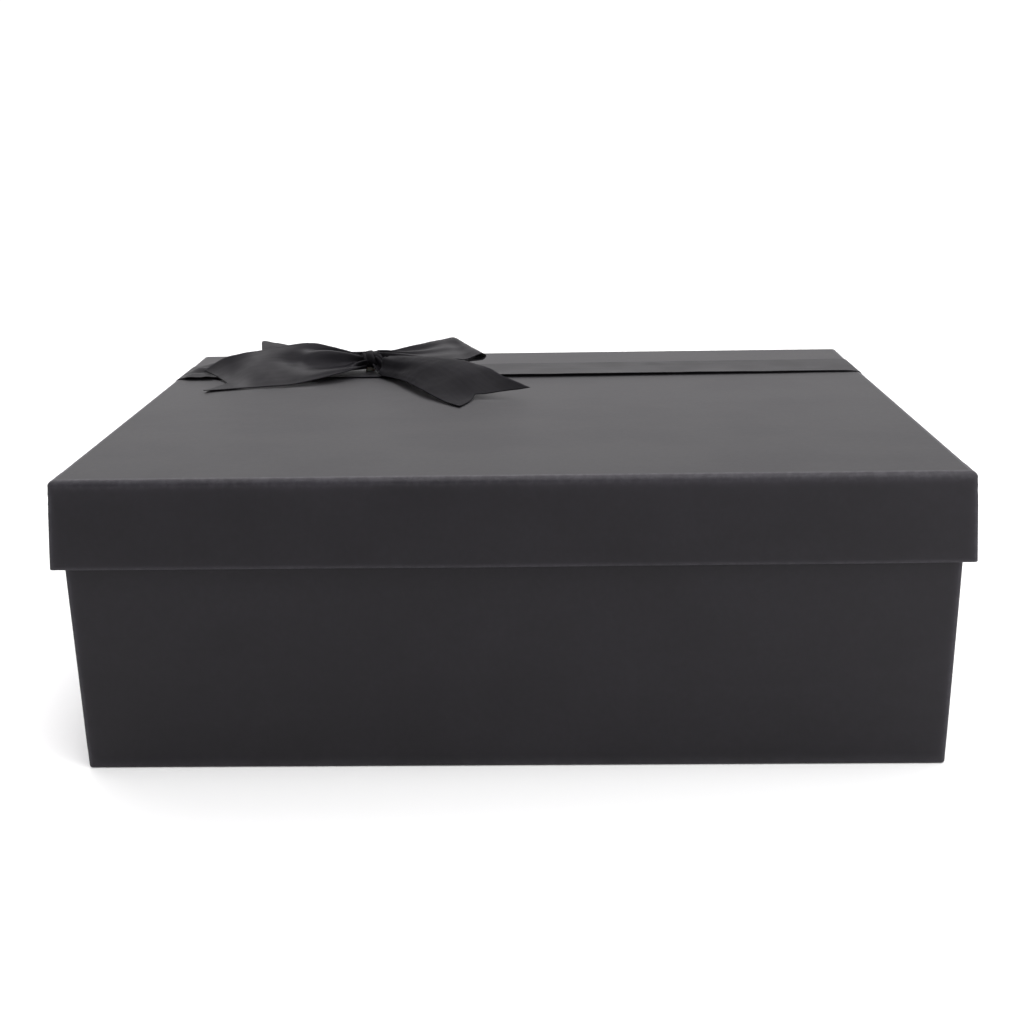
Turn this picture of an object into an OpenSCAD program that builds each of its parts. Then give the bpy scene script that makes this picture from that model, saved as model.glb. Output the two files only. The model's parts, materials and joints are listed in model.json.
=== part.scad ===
// Gift box: a shallow tray and a lift-off lid, both made of greyboard panels wrapped in
// matte black paper, with a satin ribbon band round the lid and a bow tied over the band.
// Millimetres. X runs left to right, Y front to back, Z up. The origin is the centre of the
// footprint, on the surface that the tray stands on.

/* [Box] */
// Width of the lid's top, left to right
lid_w = 355; // [300:1:400]
// Depth of the lid's top, front to back
lid_d = 254; // [220:1:300]
// Height of the closed box, without the bow
box_h = 124; // [100:1:150]
// Radius of the tray's lower edges
tray_edge_r = 1; // [0.6:0.1:1.4]

/* [Lid] */
// Height of the lid's skirt
skirt_h = 35.5; // [30:0.5:45]
// How far each skirt wall leans outward by its lower edge
skirt_flare = 2.3; // [2:0.1:3]
// Radius of the lid's top edges
lid_edge_r = 2.4; // [2:0.1:3]
// Gap between skirt and tray on each side, at the top of the skirt
lid_gap = 0.3; // [0.2:0.1:0.6]

/* [Board and paper] */
// Thickness of the greyboard panels
board_t = 1.2; // [1:0.1:1.6]
// Thickness of the black cover paper
paper_t = 0.2; // [0.15:0.05:0.3]
// Thickness of the lining paper
lining_t = 0.15; // [0.1:0.05:0.25]
// Thickness of the gummed tape that holds the board corners together
stay_t = 0.12; // [0.1:0.02:0.2]
// Width of the corner tape on each of the two walls it joins
stay_leg = 15; // [10:1:20]
// How far the cover paper turns in over a wall's edge, and under the tray
turn_in = 16; // [12:1:20]

/* [Ribbon] */
// Width of the satin ribbon
ribbon_w = 32; // [25:1:38]
// Thickness of the satin ribbon
ribbon_t = 0.4; // [0.3:0.1:0.5]
// Distance of the band's middle behind the centre of the lid
band_y = 78; // [60:1:90]
// Distance of the knot to the left of the centre of the lid
knot_left = 76; // [60:1:90]
// Length of the left loop
left_loop_l = 62; // [50:1:70]
// Length of the right loop
right_loop_l = 60; // [50:1:70]
// Length of the left tail, to its tips
left_tail_l = 88; // [80:1:100]
// Length of the right tail, to its tips
right_tail_l = 104; // [90:1:115]
// Depth of the swallowtail cut in each tail
notch_depth = 12; // [8:1:18]

/* [Hidden] */
$fn = 48;
sqrt_2 = sqrt(2);

// Colours
black_paper = [0.10, 0.10, 0.11];
black_lining = [0.07, 0.07, 0.075];
black_satin = [0.05, 0.05, 0.055];
greyboard = [0.52, 0.50, 0.46];
kraft_tape = [0.60, 0.45, 0.29];
clear_glue = [0.85, 0.80, 0.66];

// Distance of each layer's face from the outside of a wall, going inward
board_out = paper_t;
board_in = paper_t + board_t;
fold_in = board_in + paper_t;
lining_in = fold_in + lining_t;

// Lid levels
lean = skirt_flare / skirt_h;
lid_edge_z = box_h - skirt_h;
lid_board_top = box_h - paper_t;
lid_ceiling = lid_board_top - board_t;
lid_lining_ceiling = lid_ceiling - lining_t;

// Tray levels
rest_gap = 0.1;
base_t = 0.2;
tray_h = lid_lining_ceiling - rest_gap;
tray_board_z = base_t + paper_t;
tray_floor = tray_board_z + board_t;
tray_half = [lid_w / 2 - lining_in - lid_gap, lid_d / 2 - lining_in - lid_gap];
base_margin = 3;

// Depth that the vertical corners are cut back along their diagonal, and the least worth cutting
corner_cut = 0.6;
least_cut = 0.1;
// The lining stops short of a wall's edge, and the corner tape short of the closed edge
lining_margin = 4;
stay_margin = 4;
// Extra length that lets a cutting solid pass through a face
past = 1;

// Ribbon ends inside the skirt, and the tape that holds them
band_end = 20;
end_tape_t = 0.12;
end_tape_w = 26;
end_tape_low = 5;
end_tape_high = 18;

// Bow
knot_r = 5;
knot_l = 11;
knot_bulge_r = 13;
knot_at = [-knot_left, band_y, box_h + ribbon_t + 0.5 + knot_r];
glue_r = 4;
glue_t = 1.4;
loop_h = 7;
loop_pinch = 8;
loop_neck = 5;
tail_pinch = 5;
tail_start = 5;
tail_steps = 18;
loop_steps = 40;

// ---------------------------------------------------------------- layered box forms

function half_at(half, tilt, ref, z) = half + tilt * abs(z - ref);

// Upright section of a box form. half is the half width at height ref, and the sides lean out
// by tilt for each millimetre away from it. The edges at z_closed are rounded to radius r.
module section(half, ref, z_open, z_closed, tilt, r) {
    up = z_closed > z_open ? 1 : -1;
    slope = sqrt(1 + tilt * tilt);
    foot = half_at(half, tilt, ref, z_open);
    head = half_at(half, tilt, ref, z_closed);
    arc_x = head + r * (tilt - slope);
    arc_z = z_closed - up * r;
    side_x = arc_x + r / slope;
    side_z = arc_z + up * r * tilt / slope;
    if (r > 0) {
        polygon([
            [-up * foot, z_open], [up * foot, z_open], [up * side_x, side_z],
            [up * arc_x, z_closed], [-up * arc_x, z_closed], [-up * side_x, side_z]
        ]);
        for (side = [-1, 1]) translate([side * arc_x, arc_z]) circle(r);
    } else {
        polygon([
            [-up * foot, z_open], [up * foot, z_open], [up * head, z_closed], [-up * head, z_closed]
        ]);
    }
}

module along_y(length) {
    rotate([90, 0, 0]) linear_extrude(length, center = true) children();
}

module along_x(length) {
    rotate([90, 0, 90]) linear_extrude(length, center = true) children();
}

// Solid box form with leaning walls, rounded closed edges and blunted vertical corners
module box_form(half, inset, ref, z_open, z_closed, tilt, r) {
    wall = [half[0] - inset, half[1] - inset];
    reach = 3 * (half[0] + half[1]);
    cut = corner_cut - (sqrt_2 - 1) * inset;
    across = (wall[0] + wall[1]) / sqrt_2 - (cut > least_cut ? cut : -reach / 4);
    intersection() {
        along_y(reach) section(wall[0], ref, z_open, z_closed, tilt, r);
        along_x(reach) section(wall[1], ref, z_open, z_closed, tilt, r);
        rotate([0, 0, 45])
            along_y(reach) section(across, ref, z_open, z_closed, tilt * sqrt_2, 0);
        rotate([0, 0, 135])
            along_y(reach) section(across, ref, z_open, z_closed, tilt * sqrt_2, 0);
    }
}

module lid_form(inset, z_low, z_high, r = 0) {
    box_form([lid_w / 2, lid_d / 2], inset, box_h, z_low, z_high, lean, r);
}

module tray_form(inset, z_high, z_low, r = 0) {
    box_form(tray_half, inset, z_low, z_high, z_low, 0, r);
}

// All of the lid inside its cover paper
module lid_board_form() {
    lid_form(board_out, lid_edge_z + paper_t, lid_board_top, lid_edge_r - board_out);
}

// All of the tray inside its cover paper
module tray_board_form() {
    tray_form(board_out, tray_h - paper_t, tray_board_z, tray_edge_r - board_out);
}

// Half of space on one side of a plane across X, Y or Z, as a block
module half_space(axis, side, from = 0) {
    size = 2 * (lid_w + lid_d);
    shift = [for (i = [0 : 2]) i == axis ? from + side * size / 2 : 0];
    translate(shift) cube(size, center = true);
}

// ---------------------------------------------------------------- corner tape

// Block that holds one vertical corner, stay_leg wide on each wall
module corner_block(half, side_x, side_y, z_low, z_high) {
    leg = stay_leg + skirt_flare;
    translate([
        side_x * (half[0] + skirt_flare - leg / 2),
        side_y * (half[1] + skirt_flare - leg / 2),
        (z_low + z_high) / 2
    ]) cube([leg, leg, z_high - z_low], center = true);
}

module lid_stay(side_x, side_y) {
    color(kraft_tape) intersection() {
        difference() {
            lid_board_form();
            lid_form(board_out + stay_t, lid_edge_z - past, box_h + past);
        }
        corner_block([lid_w / 2, lid_d / 2], side_x, side_y, lid_edge_z, box_h - stay_margin);
    }
}

module tray_stay(side_x, side_y) {
    color(kraft_tape) intersection() {
        difference() {
            tray_board_form();
            tray_form(board_out + stay_t, tray_h + past, -past);
        }
        corner_block(tray_half, side_x, side_y, tray_board_z + stay_margin, tray_h);
    }
}

module lid_stays() {
    for (side_x = [-1, 1], side_y = [-1, 1]) lid_stay(side_x, side_y);
}

module tray_stays() {
    for (side_x = [-1, 1], side_y = [-1, 1]) tray_stay(side_x, side_y);
}

// ---------------------------------------------------------------- greyboard panels

module lid_top_board() {
    color(greyboard) intersection() {
        lid_board_form();
        half_space(2, 1, lid_ceiling);
    }
}

// Everything inside the inner faces of one pair of skirt walls, with the pair half apart
module between_skirts(half) {
    section(half - board_in, box_h, lid_edge_z - past, box_h + past, lean, 0);
}

// Front board at side -1, back board at side 1: both run the lid's full width
module lid_long_board(side) {
    color(greyboard) difference() {
        intersection() {
            lid_board_form();
            half_space(2, -1, lid_ceiling);
            half_space(1, side);
        }
        along_x(2 * lid_w) between_skirts(lid_d / 2);
        lid_stays();
    }
}

// Left board at side -1, right board at side 1: both stand between the front and back boards
module lid_short_board(side) {
    color(greyboard) difference() {
        intersection() {
            lid_board_form();
            along_x(2 * lid_w) between_skirts(lid_d / 2);
            half_space(2, -1, lid_ceiling);
            half_space(0, side);
        }
        along_y(2 * lid_d) between_skirts(lid_w / 2);
        lid_stays();
    }
}

module tray_bottom_board() {
    color(greyboard) intersection() {
        tray_board_form();
        half_space(2, -1, tray_floor);
    }
}

module tray_long_board(side) {
    inner_y = tray_half[1] - board_in;
    color(greyboard) difference() {
        intersection() {
            tray_board_form();
            half_space(2, 1, tray_floor);
            half_space(1, side, side * inner_y);
        }
        tray_stays();
    }
}

module tray_short_board(side) {
    size = [board_t, 2 * (tray_half[1] - board_in), tray_h - paper_t - tray_floor];
    middle = [side * (tray_half[0] - board_out - board_t / 2), 0, tray_floor + size[2] / 2];
    color(greyboard) difference() {
        translate(middle) cube(size, center = true);
        tray_stays();
    }
}

// ---------------------------------------------------------------- cover paper and lining

// Flap of cover paper glued inside the skirt, above its lower edge
module lid_turned_flap() {
    difference() {
        lid_form(board_in, lid_edge_z, lid_edge_z + turn_in);
        lid_form(fold_in, lid_edge_z - past, lid_edge_z + turn_in + past);
    }
}

module tray_turned_flap() {
    difference() {
        tray_form(board_in, tray_h, tray_h - turn_in);
        tray_form(fold_in, tray_h + past, tray_h - turn_in - past);
    }
}

// One sheet: over the top, down the four walls, and round their lower edge to the inside
module lid_cover_paper() {
    color(black_paper) {
        difference() {
            lid_form(0, lid_edge_z, box_h, lid_edge_r);
            lid_board_form();
            lid_form(fold_in, lid_edge_z - past, lid_edge_z + turn_in);
        }
        lid_turned_flap();
    }
}

// The window under the tray that the turned paper leaves open
module base_window(z_low, z_high) {
    size = [for (i = [0, 1]) 2 * (tray_half[i] - turn_in)];
    translate([-size[0] / 2, -size[1] / 2, z_low]) cube([size[0], size[1], z_high - z_low]);
}

// One sheet round the four walls, turned over the rim to the inside and under the tray
module tray_cover_paper() {
    color(black_paper) {
        difference() {
            tray_form(0, tray_h, base_t, tray_edge_r);
            tray_board_form();
            tray_form(fold_in, tray_h + past, tray_h - turn_in);
            base_window(0, tray_board_z + past);
        }
        tray_turned_flap();
    }
}

// Sheet glued under the tray over the turned paper: the face that the box stands on
module tray_base_sheet() {
    size = [for (i = [0, 1]) 2 * (tray_half[i] - base_margin)];
    color(black_lining) {
        translate([-size[0] / 2, -size[1] / 2, 0]) cube([size[0], size[1], base_t]);
        base_window(0, tray_board_z);
    }
}

// Lining paper lies on the board, and on the turned flap where it laps over it
module lid_lining() {
    color(black_lining) difference() {
        lid_form(board_in, lid_edge_z + lining_margin, lid_ceiling);
        lid_form(lining_in, lid_edge_z, lid_lining_ceiling);
        lid_turned_flap();
    }
}

module tray_lining() {
    color(black_lining) difference() {
        tray_form(board_in, tray_h - lining_margin, tray_floor);
        tray_form(lining_in, tray_h, tray_floor + lining_t);
        tray_turned_flap();
    }
}

// ---------------------------------------------------------------- ribbon band

module band_strip(width) {
    translate([0, band_y, box_h / 2]) cube([2 * lid_w, width, 2 * box_h], center = true);
}

// The space between the ribbon's two ends, or further in, from below the skirt to above the ends
module between_ribbon_ends(further = 0) {
    lid_form(lining_in + ribbon_t + further, lid_edge_z - 2 * past, lid_edge_z + band_end + past);
}

// Over the lid's top, down both ends, round the skirt's lower edge and up inside it
module ribbon_band() {
    color(black_satin) intersection() {
        union() {
            difference() {
                lid_form(-ribbon_t, lid_edge_z - ribbon_t, box_h + ribbon_t, lid_edge_r + ribbon_t);
                lid_form(0, lid_edge_z, box_h, lid_edge_r);
                between_ribbon_ends();
            }
            difference() {
                lid_form(lining_in, lid_edge_z - ribbon_t, lid_edge_z + band_end);
                between_ribbon_ends();
            }
        }
        band_strip(ribbon_w);
    }
}

// Tape over the ribbon's end, inside the skirt
module ribbon_end_tape(side) {
    color(black_paper) intersection() {
        difference() {
            between_ribbon_ends();
            between_ribbon_ends(end_tape_t);
        }
        band_strip(end_tape_w);
        half_space(0, side);
        half_space(2, 1, lid_edge_z + end_tape_low);
        half_space(2, -1, lid_edge_z + end_tape_high);
    }
}

// ---------------------------------------------------------------- bow

// The part of the bow where the ribbon is wrapped tight round itself, a short barrel along X
module knot_form() {
    translate(knot_at) rotate([0, 90, 0]) rotate_extrude() intersection() {
        translate([knot_r - knot_bulge_r, 0]) circle(knot_bulge_r);
        translate([0, -knot_l / 2]) square([2 * knot_r, knot_l]);
    }
}

module bow_knot() {
    color(black_satin) knot_form();
}

// Dot of glue that holds the knot on the band
module bow_glue_dot() {
    color(clear_glue) difference() {
        translate([knot_at[0], knot_at[1], box_h + ribbon_t]) cylinder(h = glue_t, r = glue_r);
        knot_form();
    }
}

// Closed teardrop curve from x = start to x = start + length, with its point at the knot
function teardrop(start, length, half_height) = [
    for (i = [0 : loop_steps - 1])
        let (turn = 360 * i / loop_steps, swell = (1 - cos(turn)) / 2)
            [start + length * swell, half_height / 0.65 * sin(turn) * swell]
];

// A strip of ribbon bent round into a loop that lies out along +X, gathered at the knot
module ribbon_loop(length) {
    half_w = ribbon_w / 2;
    intersection() {
        rotate([90, 0, 0]) linear_extrude(ribbon_w, center = true) difference() {
            polygon(teardrop(0, length, loop_h / 2));
            polygon(teardrop(loop_pinch, length - loop_pinch - ribbon_t, loop_h / 2 - ribbon_t));
        }
        translate([0, 0, -loop_h]) linear_extrude(2 * loop_h) polygon([
            [0, -loop_neck], [length * 0.6, -half_w], [length + past, -half_w],
            [length + past, half_w], [length * 0.6, half_w], [0, loop_neck]
        ]);
    }
}

// Height of a tail above the band: it leaves the knot at rise and eases down by x = fall
function tail_z(x, rise, fall) = rise * (1 + cos(180 * min(x / fall, 1))) / 2;

// A strip of ribbon that lies out along +X and ends in a swallowtail cut
module ribbon_tail(length, rise) {
    half_w = ribbon_w / 2;
    fall = length * 0.7;
    xs = [for (i = [0 : tail_steps]) length * i / tail_steps];
    intersection() {
        along_y(ribbon_w) polygon(concat(
            [for (x = xs) [x, tail_z(x, rise, fall)]],
            [for (i = [tail_steps : -1 : 0]) [xs[i], tail_z(xs[i], rise, fall) + ribbon_t]]
        ));
        translate([0, 0, -past]) linear_extrude(rise + 2 * past) polygon([
            [tail_start, -tail_pinch], [length * 0.4, -half_w], [length, -half_w],
            [length - notch_depth, 0], [length, half_w], [length * 0.4, half_w],
            [tail_start, tail_pinch]
        ]);
    }
}

// Puts a loop or tail at the knot: turned about Z, and raised by tilt degrees at its far end.
// lift moves it up or down from the knot's middle.
module from_knot(turn, tilt, lift) {
    color(black_satin) difference() {
        translate(knot_at + [0, 0, lift]) rotate([0, -tilt, turn]) children();
        knot_form();
    }
}

module bow_left_loop() {
    from_knot(162, 6, 1) ribbon_loop(left_loop_l);
}

module bow_right_loop() {
    from_knot(4, 8, 1) ribbon_loop(right_loop_l);
}

module bow_left_tail() {
    from_knot(199, 0, -knot_r) ribbon_tail(left_tail_l, 3);
}

module bow_right_tail() {
    from_knot(-50, 0, -knot_r) ribbon_tail(right_tail_l, 3);
}

// ---------------------------------------------------------------- nodes

tray_bottom_board();
tray_long_board(-1);  // tray_front_board
tray_long_board(1);  // tray_back_board
tray_short_board(-1);  // tray_left_board
tray_short_board(1);  // tray_right_board
tray_stay(-1, -1);  // tray_front_left_stay
tray_stay(1, -1);  // tray_front_right_stay
tray_stay(-1, 1);  // tray_back_left_stay
tray_stay(1, 1);  // tray_back_right_stay
tray_cover_paper();
tray_base_sheet();
tray_lining();
lid_top_board();
lid_long_board(-1);  // lid_front_board
lid_long_board(1);  // lid_back_board
lid_short_board(-1);  // lid_left_board
lid_short_board(1);  // lid_right_board
lid_stay(-1, -1);  // lid_front_left_stay
lid_stay(1, -1);  // lid_front_right_stay
lid_stay(-1, 1);  // lid_back_left_stay
lid_stay(1, 1);  // lid_back_right_stay
lid_cover_paper();
lid_lining();
ribbon_band();
ribbon_end_tape(-1);  // ribbon_left_end_tape
ribbon_end_tape(1);  // ribbon_right_end_tape
bow_glue_dot();
bow_knot();
bow_left_loop();
bow_right_loop();
bow_left_tail();
bow_right_tail();
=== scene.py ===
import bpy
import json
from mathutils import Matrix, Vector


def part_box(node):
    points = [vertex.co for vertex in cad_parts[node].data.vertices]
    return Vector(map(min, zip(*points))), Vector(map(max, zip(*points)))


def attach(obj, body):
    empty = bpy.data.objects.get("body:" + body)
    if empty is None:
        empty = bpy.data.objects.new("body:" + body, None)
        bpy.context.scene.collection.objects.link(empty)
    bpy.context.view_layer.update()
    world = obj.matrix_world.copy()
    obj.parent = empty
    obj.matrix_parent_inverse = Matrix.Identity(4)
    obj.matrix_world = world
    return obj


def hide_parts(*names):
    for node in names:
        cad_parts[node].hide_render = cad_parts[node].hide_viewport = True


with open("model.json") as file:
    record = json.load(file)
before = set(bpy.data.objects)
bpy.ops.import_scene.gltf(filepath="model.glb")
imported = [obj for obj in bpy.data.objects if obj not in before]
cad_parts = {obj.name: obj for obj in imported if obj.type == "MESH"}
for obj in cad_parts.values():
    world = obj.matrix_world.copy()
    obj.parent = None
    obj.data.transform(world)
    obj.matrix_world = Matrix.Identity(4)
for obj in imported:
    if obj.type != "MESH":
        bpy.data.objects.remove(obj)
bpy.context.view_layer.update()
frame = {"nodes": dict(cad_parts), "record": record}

import json
import math

import bpy
import numpy as np
from mathutils import Matrix, Vector, noise

# Lengths are in metres. The ribbon's shapes are worked out in millimetres and brought to metres by MM.
MM = 0.001

# ------------------------------------------------------------------ camera, light and floor

CAMERA_AT = (0.0125, -0.6119, 0.2632)
CAMERA_YAW, CAMERA_PITCH, CAMERA_ROLL = -1.361, 17.54, 0.963
CAMERA_LENS = 46.6


def aim(yaw, pitch, roll):
    """Camera rotation that looks along +Y at yaw 0, down by pitch, rolled about its own axis."""
    yaw, pitch, roll = (math.radians(angle) for angle in (yaw, pitch, roll))
    ahead = Vector((math.sin(yaw) * math.cos(pitch), math.cos(yaw) * math.cos(pitch), -math.sin(pitch)))
    level = Vector((math.cos(yaw), -math.sin(yaw), 0))
    down = ahead.cross(level)
    right = math.cos(roll) * level + math.sin(roll) * down
    below = math.cos(roll) * down - math.sin(roll) * level
    return Matrix((right, -below, -ahead)).transposed()


def make_camera():
    """The camera at the reference view."""
    data = bpy.data.cameras.new("camera")
    data.sensor_width = 36
    data.lens = CAMERA_LENS
    data.clip_start, data.clip_end = 0.02, 50
    camera = bpy.data.objects.new("camera", data)
    camera.matrix_world = Matrix.Translation(CAMERA_AT) @ aim(CAMERA_YAW, CAMERA_PITCH, CAMERA_ROLL).to_4x4()
    bpy.context.scene.collection.objects.link(camera)
    bpy.context.scene.camera = camera


make_camera()
bpy.context.scene.view_settings.view_transform = "Standard"


def add_node(tree, kind, settings=None, **inputs):
    """A new node. Inputs are given by socket name, with _ for a space, as values or as output sockets."""
    made = tree.nodes.new("ShaderNode" + kind)
    for key, value in (settings or {}).items():
        setattr(made, key, value)
    for key, value in inputs.items():
        name = key.replace("_", " ")
        socket = made.inputs[int(key[1:])] if key[0] == "i" and key[1:].isdigit() else made.inputs[name]
        if isinstance(value, bpy.types.NodeSocket):
            tree.links.new(value, socket)
        else:
            socket.default_value = value
    return made


def area_light(name, at, target, size, watts):
    """A rectangular lamp at one place, turned toward another."""
    data = bpy.data.lights.new(name, "AREA")
    data.shape = "RECTANGLE"
    data.size, data.size_y = size
    data.energy = watts
    lamp = bpy.data.objects.new(name, data)
    lamp.location = at
    lamp.rotation_euler = (Vector(target) - Vector(at)).to_track_quat("-Z", "Y").to_euler()
    bpy.context.scene.collection.objects.link(lamp)


def make_studio():
    """A white sweep, bright behind the box and dim on the camera's side, with a softbox high behind the
    box, a little more light on the right, and a broad overhead light that whitens the floor."""
    world = bpy.data.worlds.new("studio")
    world.use_nodes = True
    tree = world.node_tree
    direction = add_node(tree, "TexCoord").outputs["Generated"]
    split = add_node(tree, "SeparateXYZ", Vector=direction)
    x, y, z = (split.outputs[axis] for axis in "XYZ")
    back = span(tree, y, -0.05, 0.7, 0.0, 1.0)
    left = span(tree, x, -0.95, -0.3, 0.3, 1.0)
    low_glow = span(tree, z, 0.08, 0.16, 0.85, 0.52)
    bright_wall = maths(tree, "ADD", span(tree, z, 0.24, 0.46, 0.0, 1.05),
                        span(tree, z, 0.52, 0.82, 0.0, -1.57))
    height = maths(tree, "ADD", low_glow, bright_wall)
    behind = maths(tree, "MULTIPLY", maths(tree, "MULTIPLY", back, left), height)
    toward = add_node(tree, "VectorMath", {"operation": "DOT_PRODUCT"}, i0=direction,
                      i1=(-0.08, 0.50, 0.86)).outputs["Value"]
    softbox = span(tree, toward, 0.82, 0.97, 0.0, 2.2)
    sides = span(tree, x, 0.2, 0.9, 0.27, 0.42)
    level = maths(tree, "ADD", maths(tree, "ADD", behind, softbox), sides)
    background = tree.nodes["Background"]
    tree.links.new(level, background.inputs["Strength"])
    background.inputs["Color"].default_value = (1.0, 0.985, 1.0, 1)
    bpy.context.scene.world = world
    lamp = bpy.data.lights.new("overhead", "SUN")
    lamp.energy, lamp.angle = 2.25, math.radians(50)
    overhead = bpy.data.objects.new("overhead", lamp)
    overhead.rotation_euler = Vector((-0.2, 0.3, -0.93)).to_track_quat("-Z", "Y").to_euler()
    bpy.context.scene.collection.objects.link(overhead)
    area_light("front_fill", (0.40, -0.46, 0.30), (0.26, -0.25, 0.02), (0.22, 0.22), 0.9)
    reach = 60.0
    mesh = bpy.data.meshes.new("studio_floor")
    corners = [(-reach, -reach, 0), (reach, -reach, 0), (reach, reach, 0), (-reach, reach, 0)]
    mesh.from_pydata(corners, [], [(0, 1, 2, 3)])
    floor = bpy.data.objects.new("studio_floor", mesh)
    bpy.context.scene.collection.objects.link(floor)
    material = bpy.data.materials.new("studio_floor")
    material.use_nodes = True
    shader = material.node_tree.nodes["Principled BSDF"]
    shader.inputs["Base Color"].default_value = (0.93, 0.93, 0.93, 1)
    shader.inputs["Roughness"].default_value = 0.9
    shader.inputs["Specular IOR Level"].default_value = 0.1
    mesh.materials.append(material)


# ------------------------------------------------------------------ materials


def new_material(name, **constants):
    """A Principled material, with the constants set on the shader's own sockets."""
    material = bpy.data.materials.new(name)
    material.use_nodes = True
    shader = material.node_tree.nodes["Principled BSDF"]
    for key, value in constants.items():
        shader.inputs[key.replace("_", " ")].default_value = value
    return material, material.node_tree, shader


def mix_colour(tree, factor, first, second, blend="MIX"):
    """Mixes two colours, each an (r, g, b) or an output socket."""
    mixed = add_node(tree, "Mix", {"data_type": "RGBA", "blend_type": blend})
    for socket, value in ((mixed.inputs[0], factor), (mixed.inputs[6], first), (mixed.inputs[7], second)):
        if isinstance(value, bpy.types.NodeSocket):
            tree.links.new(value, socket)
        elif isinstance(value, tuple):
            socket.default_value = (*value, 1)
        else:
            socket.default_value = value
    return mixed.outputs[2]


def maths(tree, operation, first, second, clamp=False):
    """One arithmetic node on two values or output sockets."""
    made = add_node(tree, "Math", {"operation": operation, "use_clamp": clamp}, i0=first, i1=second)
    return made.outputs[0]


def noise_at(tree, where, scale, detail=3.0, roughness=0.5, stretch=None):
    """Noise from 0 to 1, with its coordinates scaled by stretch if that is given."""
    if stretch:
        where = add_node(tree, "Mapping", Vector=where, Scale=stretch).outputs["Vector"]
    made = add_node(tree, "TexNoise", Vector=where, Scale=scale, Detail=detail, Roughness=roughness)
    return made.outputs["Fac"]


def span(tree, value, low, high, to_low=0.0, to_high=1.0):
    """Carries value smoothly from to_low to to_high as it goes from low to high, and clamps it outside."""
    made = add_node(tree, "MapRange", {"interpolation_type": "SMOOTHSTEP"}, Value=value, From_Min=low,
                    From_Max=high, To_Min=to_low, To_Max=to_high)
    return made.outputs["Result"]


def scaled(tree, colour, factor):
    """A colour multiplied by a number."""
    grey = add_node(tree, "CombineXYZ", X=factor, Y=factor, Z=factor).outputs[0]
    return mix_colour(tree, 1.0, colour, grey, "MULTIPLY")


make_studio()


def soft_touch_paper(name, dark, light, worn_and_lit_edge, rough, specular, sheen):
    """Matte laminated paper: cloudy rub marks, fine grain, dust specks, and paler edges that are partly
    scuffs and partly painted highlight.
    """
    material, tree, shader = new_material(name, Specular_IOR_Level=specular, Sheen_Weight=sheen,
                                          Sheen_Roughness=0.45, Specular_Tint=(0.99, 0.965, 1.0, 1))
    where = add_node(tree, "TexCoord").outputs["Object"]
    clouds = noise_at(tree, where, 17, 4, 0.6)
    streaks = noise_at(tree, where, 26, 5, 0.65, (0.35, 1.0, 1.6))
    fine = noise_at(tree, where, 420, 3, 0.6)
    grain = noise_at(tree, where, 3200, 2, 0.5)
    rub = span(tree, maths(tree, "ADD", maths(tree, "MULTIPLY", clouds, 0.6),
                           maths(tree, "MULTIPLY", streaks, 0.4)), 0.36, 0.66)
    colour = mix_colour(tree, rub, dark, light)
    colour = scaled(tree, colour, span(tree, fine, 0.3, 0.75, 0.88, 1.12))
    specks = add_node(tree, "TexVoronoi", Vector=where, Scale=150.0)
    spots = span(tree, specks.outputs["Distance"], 0.035, 0.02)
    sparse = span(tree, noise_at(tree, where, 60, 2), 0.56, 0.66)
    colour = mix_colour(tree, maths(tree, "MULTIPLY", maths(tree, "MULTIPLY", spots, sparse), 0.5), colour,
                        tuple(3.2 * c for c in light))
    # the per-point value read here is partly edge scuffing and partly painted highlight along the rounded
    # edges; the next lines turn both into paler colour
    wear_and_highlight = add_node(tree, "Attribute", {"attribute_name": "wear_and_highlight"}).outputs["Fac"]
    patchy = span(tree, noise_at(tree, where, 330, 5, 0.6), 0.35, 0.70)
    scuff_and_highlight = maths(tree, "MULTIPLY", maths(tree, "MULTIPLY", wear_and_highlight, wear_and_highlight),
                  span(tree, patchy, 0.0, 1.0, 0.35, 0.70), True)
    edge_paling = maths(tree, "MULTIPLY", wear_and_highlight, span(tree, clouds, 0.35, 0.65, 0.25, 0.9), True)
    colour = mix_colour(tree, edge_paling, colour, tuple(2.0 * c for c in light))
    colour = mix_colour(tree, scuff_and_highlight, colour, worn_and_lit_edge)
    tree.links.new(colour, shader.inputs["Base Color"])
    tree.links.new(maths(tree, "ADD", span(tree, rub, 0.0, 1.0, rough - 0.012, rough + 0.02),
                         maths(tree, "MULTIPLY", fine, 0.06)), shader.inputs["Roughness"])
    height = maths(tree, "ADD", maths(tree, "MULTIPLY", grain, 0.35),
                   maths(tree, "ADD", maths(tree, "MULTIPLY", fine, 0.65),
                         maths(tree, "MULTIPLY", maths(tree, "MULTIPLY", patchy, wear_and_highlight), 1.2)))
    bump = add_node(tree, "Bump", Strength=0.55, Distance=0.00004, Height=height)
    tree.links.new(bump.outputs["Normal"], shader.inputs["Normal"])
    return material


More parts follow.
